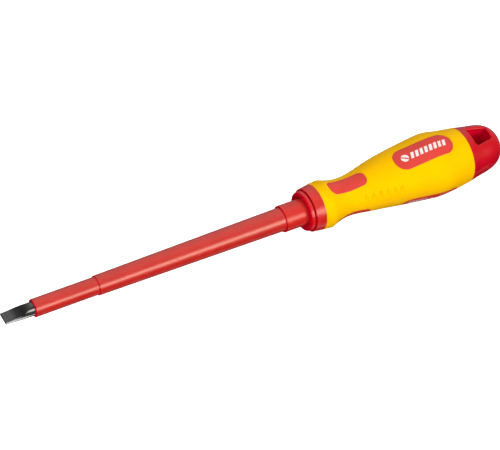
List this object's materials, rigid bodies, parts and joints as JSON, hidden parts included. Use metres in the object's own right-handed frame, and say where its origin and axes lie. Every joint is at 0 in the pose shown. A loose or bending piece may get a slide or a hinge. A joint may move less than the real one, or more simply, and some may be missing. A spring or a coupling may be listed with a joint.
{
  "type": "insulated screwdriver",
  "caption": "Slotted screwdriver with an insulated shaft in stepped red sleeves and a yellow and red two-component handle with a hang hole",
  "frame": {"origin": "centre of the end face of the blade tip", "axes": "+X along the shaft from the tip to the end cap; +Z normal to the broad faces of the blade, along the hang hole, towards neck_pad_1 and label_pad_1; +Y across the width of the blade"},
  "size_m": [0.278, 0.0334, 0.0333],
  "materials": {
    "blade_steel": "ground and dark finished",
    "sleeve_red": "fine matt",
    "core_red": "semi gloss",
    "grip_yellow": "satin",
    "pad_red": "satin",
    "cap_red": "gloss"
  },
  "bodies": {
    "root": {"blade": "blade_steel", "collar_sleeve": "sleeve_red", "end_cap": "cap_red", "grip_cover": "grip_yellow", "handle_core": "core_red", "inner_sleeve": "sleeve_red", "label_pad_1": "pad_red", "label_pad_2": "pad_red", "label_pad_3": "pad_red", "neck_pad_1": "pad_red", "neck_pad_2": "pad_red", "neck_pad_3": "pad_red", "nose_ring": "core_red", "outer_sleeve": "sleeve_red"}
  },
  "joints": []
}
